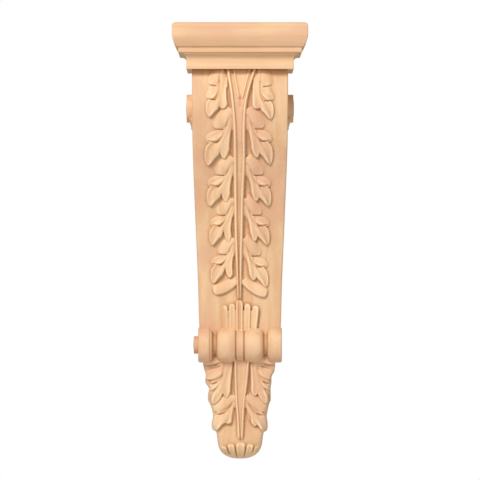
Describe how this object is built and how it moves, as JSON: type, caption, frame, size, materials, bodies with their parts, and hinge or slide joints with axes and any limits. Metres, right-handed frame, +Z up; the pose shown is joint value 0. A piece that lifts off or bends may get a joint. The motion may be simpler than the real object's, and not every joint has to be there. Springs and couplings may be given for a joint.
{
  "type": "wooden corbel bracket",
  "caption": "Tall tapering wooden corbel with a moulded cap, acanthus leaves along a forked stem, a turned roll and a fluted rounded tip.",
  "frame": {"origin": "on the flat back face, on the centre line at half the height, where the corbel meets the wall", "axes": "+Y into the wall, +Z up, +X to the right of someone facing the corbel"},
  "size_m": [0.1724, 0.133, 0.5599],
  "materials": {
    "cap_wood": "raw, sanded, grain running across",
    "body_wood": "raw, carved and sanded, grain running down"
  },
  "bodies": {
    "root": {"cap_moulding": "cap_wood", "carved_body": "body_wood"}
  },
  "joints": []
}
